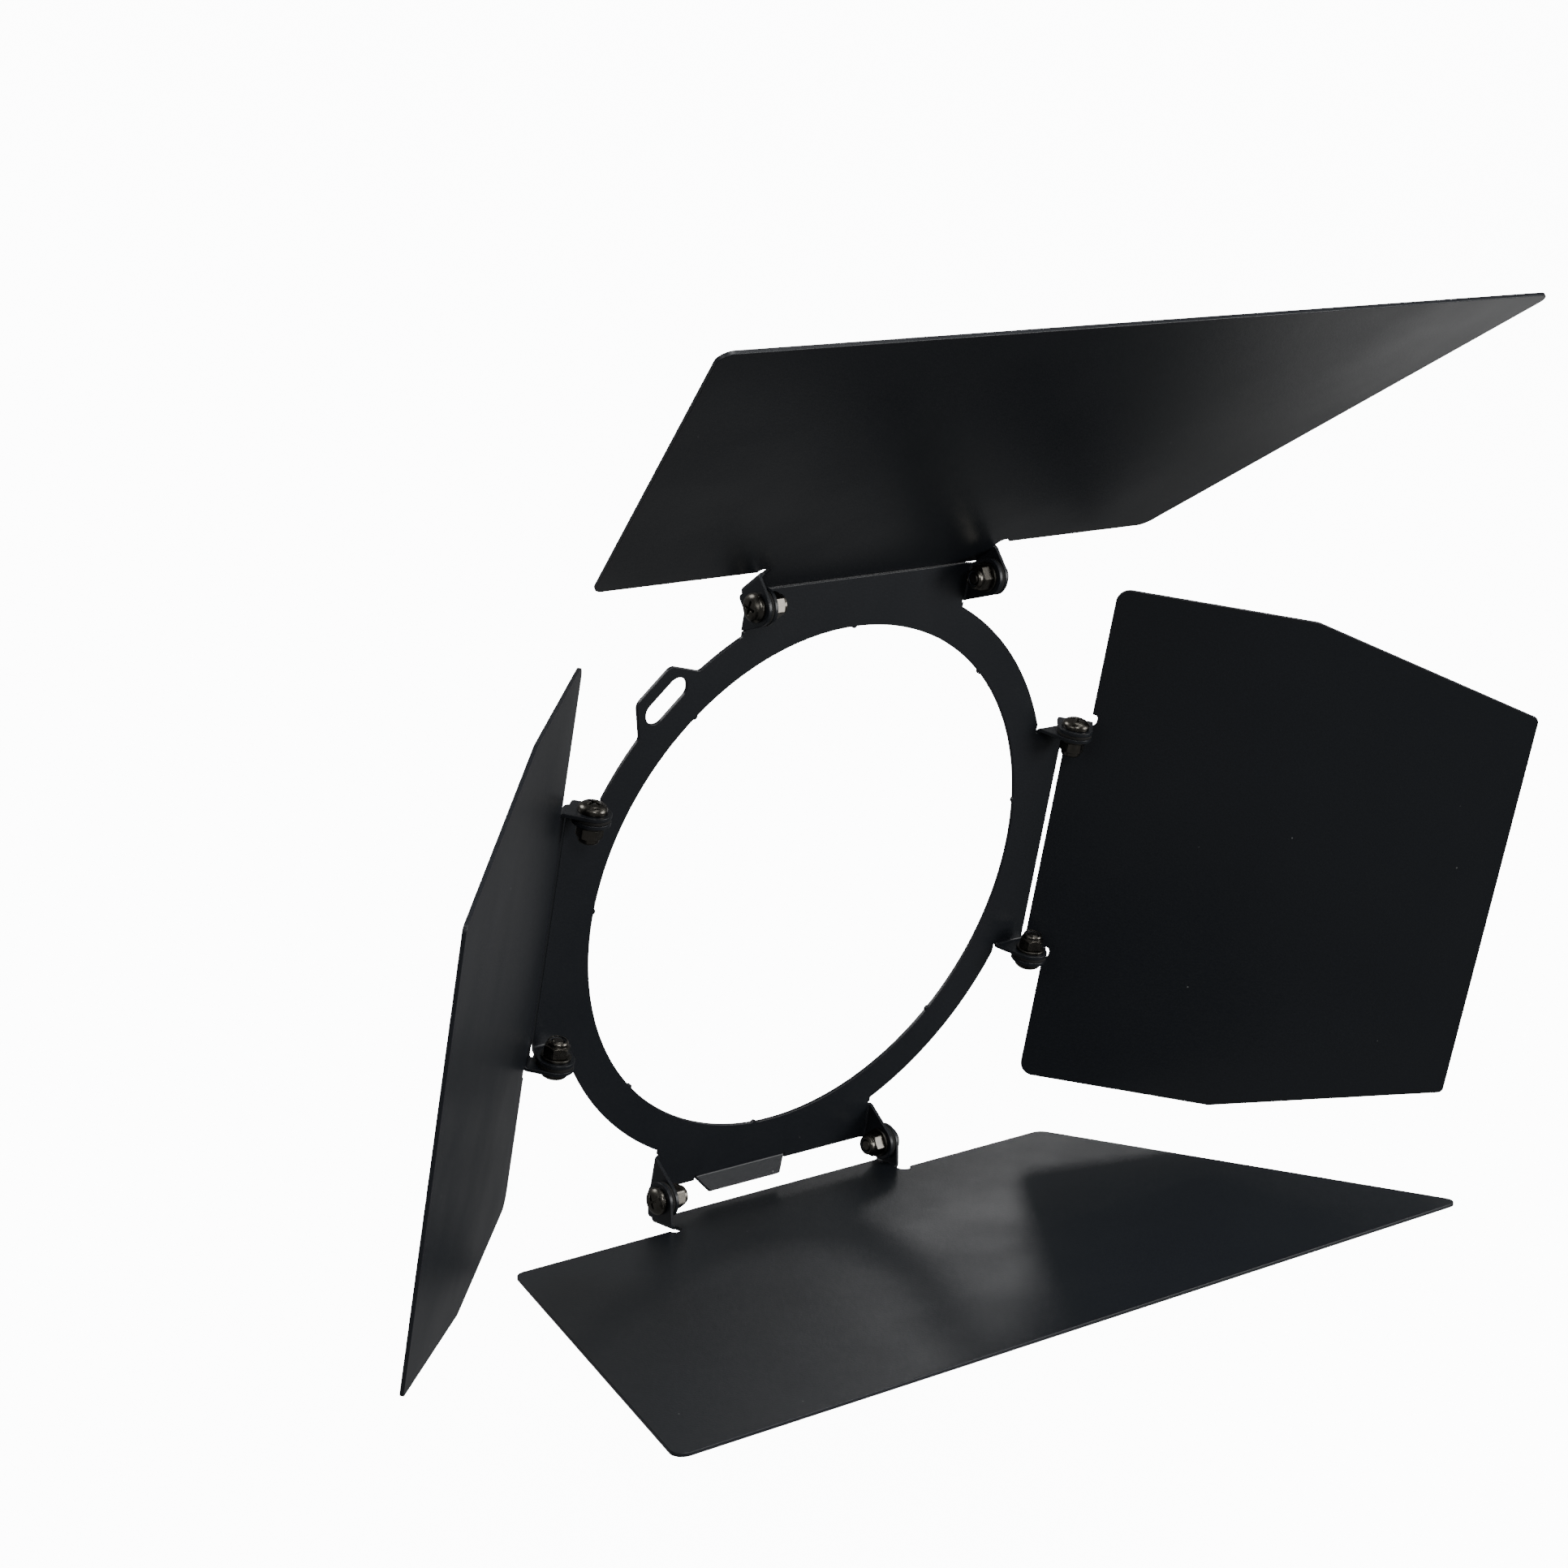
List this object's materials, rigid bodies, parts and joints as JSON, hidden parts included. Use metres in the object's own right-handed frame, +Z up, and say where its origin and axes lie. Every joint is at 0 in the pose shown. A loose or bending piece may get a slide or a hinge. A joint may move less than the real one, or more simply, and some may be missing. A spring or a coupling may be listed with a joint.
{
  "type": "barn door attachment",
  "caption": "Ring plate with a slotted lug and four flat leaves on friction hinges, put on the front of a stage lantern to cut and shape its beam.",
  "frame": {"origin": "centre of the round opening, in the plane of the ring plate's back face", "axes": "+Y out of the back face towards the lantern, so light leaves along -Y; +Z up; +X to the right seen from the front"},
  "size_m": [0.4136, 0.1521, 0.3161],
  "materials": {
    "plate_powder_coat": "satin black powder coat on mild steel sheet, fine orange peel",
    "leaf_powder_coat": "satin black powder coat on mild steel sheet, fine orange peel",
    "screw_black_zinc": "bright black zinc plating on a cold-headed screw",
    "washer_black_zinc": "black zinc plating on a stamped washer",
    "nut_black_zinc": "worn black zinc plating, bright on the flats",
    "friction_fibre": "matt black fibre-filled rubber",
    "lock_nylon": "dark nylon, slightly waxy"
  },
  "bodies": {
    "frame": {"plate": "plate_powder_coat", "screw_top_left": "screw_black_zinc", "friction_washer_top_left": "friction_fibre", "flat_washer_top_left": "washer_black_zinc", "lock_nut_top_left": "nut_black_zinc", "nylon_ring_top_left": "lock_nylon", "screw_top_right": "screw_black_zinc", "friction_washer_top_right": "friction_fibre", "flat_washer_top_right": "washer_black_zinc", "lock_nut_top_right": "nut_black_zinc", "nylon_ring_top_right": "lock_nylon", "screw_right_upper": "screw_black_zinc", "friction_washer_right_upper": "friction_fibre", "flat_washer_right_upper": "washer_black_zinc", "lock_nut_right_upper": "nut_black_zinc", "nylon_ring_right_upper": "lock_nylon", "screw_right_lower": "screw_black_zinc", "friction_washer_right_lower": "friction_fibre", "flat_washer_right_lower": "washer_black_zinc", "lock_nut_right_lower": "nut_black_zinc", "nylon_ring_right_lower": "lock_nylon", "screw_bottom_right": "screw_black_zinc", "friction_washer_bottom_right": "friction_fibre", "flat_washer_bottom_right": "washer_black_zinc", "lock_nut_bottom_right": "nut_black_zinc", "nylon_ring_bottom_right": "lock_nylon", "screw_bottom_left": "screw_black_zinc", "friction_washer_bottom_left": "friction_fibre", "flat_washer_bottom_left": "washer_black_zinc", "lock_nut_bottom_left": "nut_black_zinc", "nylon_ring_bottom_left": "lock_nylon", "screw_left_lower": "screw_black_zinc", "friction_washer_left_lower": "friction_fibre", "flat_washer_left_lower": "washer_black_zinc", "lock_nut_left_lower": "nut_black_zinc", "nylon_ring_left_lower": "lock_nylon", "screw_left_upper": "screw_black_zinc", "friction_washer_left_upper": "friction_fibre", "flat_washer_left_upper": "washer_black_zinc", "lock_nut_left_upper": "nut_black_zinc", "nylon_ring_left_upper": "lock_nylon"},
    "leaf_top": {"leaf_top": "leaf_powder_coat"},
    "leaf_right": {"leaf_right": "leaf_powder_coat"},
    "leaf_bottom": {"leaf_bottom": "leaf_powder_coat"},
    "leaf_left": {"leaf_left": "leaf_powder_coat"}
  },
  "joints": [
    {"name": "top_leaf_hinge", "type": "hinge", "parent": "frame", "child": "leaf_top", "pos_m": [0, -0.0087, 0.0974], "axis": [1, 0, 0], "range_deg": [0, 61.2]},
    {"name": "right_leaf_hinge", "type": "hinge", "parent": "frame", "child": "leaf_right", "pos_m": [0.0956, -0.0087, 0], "axis": [0, 0, -1], "range_deg": [0, 88]},
    {"name": "bottom_leaf_hinge", "type": "hinge", "parent": "frame", "child": "leaf_bottom", "pos_m": [0, -0.0087, -0.0974], "axis": [-1, 0, 0], "range_deg": [-61.2, 0]},
    {"name": "left_leaf_hinge", "type": "hinge", "parent": "frame", "child": "leaf_left", "pos_m": [-0.0956, -0.0087, 0], "axis": [0, 0, 1], "range_deg": [0, 88]}
  ]
}
